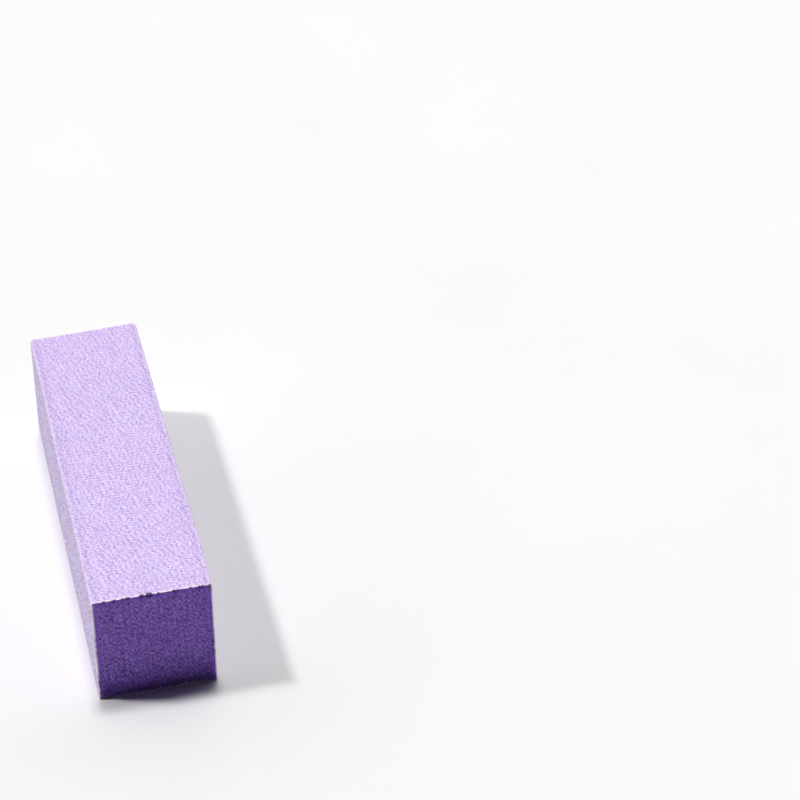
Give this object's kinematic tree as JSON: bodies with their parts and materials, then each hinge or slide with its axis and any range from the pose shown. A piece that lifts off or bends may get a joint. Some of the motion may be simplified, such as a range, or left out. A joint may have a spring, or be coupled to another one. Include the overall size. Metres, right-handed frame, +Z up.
{
  "type": "nail buffer block",
  "caption": "Square foam bar with abrasive grains bonded to its long faces and bare saw-cut ends, for buffing nails by hand.",
  "frame": {"origin": "middle of the long face that the block rests on", "axes": "+X along the bar towards one cut end, +Z up from the face it rests on, -Y towards the front long face"},
  "size_m": [0.098, 0.025, 0.025],
  "materials": {
    "foam": "matte",
    "bond": "satin",
    "grit": "matte"
  },
  "bodies": {
    "root": {"foam_core": "foam", "top_bond": "bond", "top_grit": "grit", "bottom_bond": "bond", "bottom_grit": "grit", "front_bond": "bond", "front_grit": "grit", "back_bond": "bond", "back_grit": "grit"}
  },
  "joints": []
}
